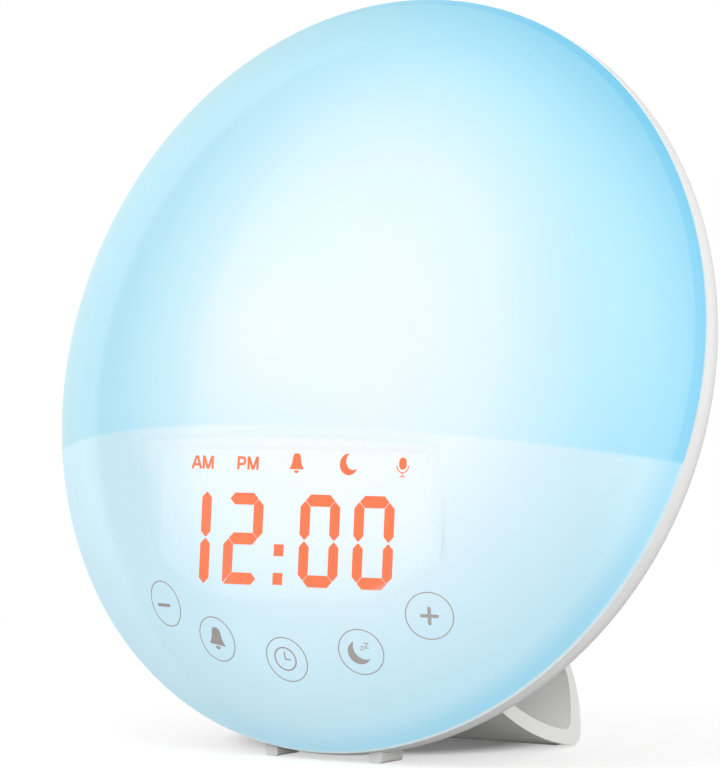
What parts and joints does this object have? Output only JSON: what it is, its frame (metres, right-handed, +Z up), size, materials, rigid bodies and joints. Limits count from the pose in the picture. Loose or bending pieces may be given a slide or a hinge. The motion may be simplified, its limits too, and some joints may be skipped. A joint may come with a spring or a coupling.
{
  "type": "sunrise alarm clock",
  "caption": "Round sunrise alarm clock: a milky dome lit from inside, with a digital display and touch marks low on it, a white back shell, small front feet and a loop stand behind.",
  "frame": {"origin": "on the table, in the middle of the clock's width and of its front-to-back extent", "axes": "+Z up, +Y towards the back, so the display faces -Y, +X to the right as seen from the front"},
  "size_m": [0.172, 0.088, 0.1694],
  "materials": {
    "opal_acrylic": "glossy opal moulding, lit from inside",
    "white_housing": "fine satin moulding",
    "white_key": "fine satin moulding",
    "white_inner": "white reflective moulding",
    "display_diffuser": "pale diffusing sheet, lit from behind",
    "lamp_laminate": "white solder resist on an aluminium board",
    "led_package": "LED package with a phosphor face",
    "lit_segment": "orange LED light guide",
    "black_plastic": "black moulding",
    "green_laminate": "green solder resist on glass laminate",
    "chip_epoxy": "moulded epoxy",
    "capacitor_can": "drawn can",
    "zinc_screw": "zinc plated",
    "spring_steel": "drawn wire",
    "plated_steel": "tin plated sheet",
    "cell_steel": "nickel plated can",
    "contact_brass": "stamped spring contact",
    "ferrite": "sintered ferrite between plated plates",
    "cone_paper": "pressed paper pulp",
    "copper_wire": "enamelled winding",
    "ribbon_film": "flat cable film",
    "red_wire": "insulated wire",
    "grey_rubber": "soft rubber",
    "foam": "closed-cell foam",
    "clear_silicone": "translucent silicone"
  },
  "bodies": {
    "clock": {"front_dome": "opal_acrylic", "rear_housing": "white_housing", "reflector_tray": "white_inner", "light_baffle": "white_inner", "lamp_board": "lamp_laminate", "lamp_leds": "led_package", "lamp_board_screws": "zinc_screw", "display_window": "display_diffuser", "digit_segments": "lit_segment", "symbol_lights": "black_plastic", "display_module": "black_plastic", "display_board": "green_laminate", "display_screws": "zinc_screw", "touch_board": "green_laminate", "touch_springs": "spring_steel", "touch_board_screws": "zinc_screw", "main_board": "green_laminate", "board_chips": "chip_epoxy", "board_capacitors": "capacitor_can", "main_board_screws": "zinc_screw", "display_ribbon": "ribbon_film", "lamp_ribbon": "ribbon_film", "touch_ribbon": "ribbon_film", "key_ribbon": "ribbon_film", "speaker_grille": "white_housing", "speaker_gasket": "foam", "speaker_frame": "plated_steel", "speaker_magnet": "ferrite", "speaker_screws": "zinc_screw", "speaker_leads": "red_wire", "key_board": "green_laminate", "key_switches": "plated_steel", "key_board_screws": "zinc_screw", "microphone": "plated_steel", "microphone_boot": "grey_rubber", "dc_jack": "black_plastic", "usb_port": "plated_steel", "coin_cell": "cell_steel", "battery_contacts": "contact_brass", "stand": "white_housing", "stand_pad": "grey_rubber", "stand_screws": "zinc_screw", "front_feet": "clear_silicone", "housing_screws": "zinc_screw"},
    "lamp_key": {"lamp_key": "white_key", "lamp_plunger": "black_plastic"},
    "sound_key": {"sound_key": "white_key", "sound_plunger": "black_plastic"},
    "battery_door": {"battery_door": "white_key", "door_screws": "zinc_screw"},
    "speaker_cone": {"speaker_cone": "cone_paper", "voice_coil": "copper_wire", "speaker_surround": "foam"}
  },
  "joints": [
    {"name": "lamp_key_press", "type": "slide", "parent": "clock", "child": "lamp_key", "axis": [0, -0.9744, 0.225], "range_m": [0, 0.0005], "stiffness_N_per_m": 1600, "springref_m": -0.0003},
    {"name": "sound_key_press", "type": "slide", "parent": "clock", "child": "sound_key", "axis": [0, -0.9744, 0.225], "range_m": [0, 0.0005], "stiffness_N_per_m": 1600, "springref_m": -0.0003},
    {"name": "battery_door_lift", "type": "slide", "parent": "clock", "child": "battery_door", "axis": [0, 0.9744, -0.225], "range_m": [0, 0.014]},
    {"name": "speaker_cone_stroke", "type": "slide", "parent": "clock", "child": "speaker_cone", "axis": [0, 0.9744, -0.225], "range_m": [-0.0004, 0.0004], "stiffness_N_per_m": 1500}
  ]
}
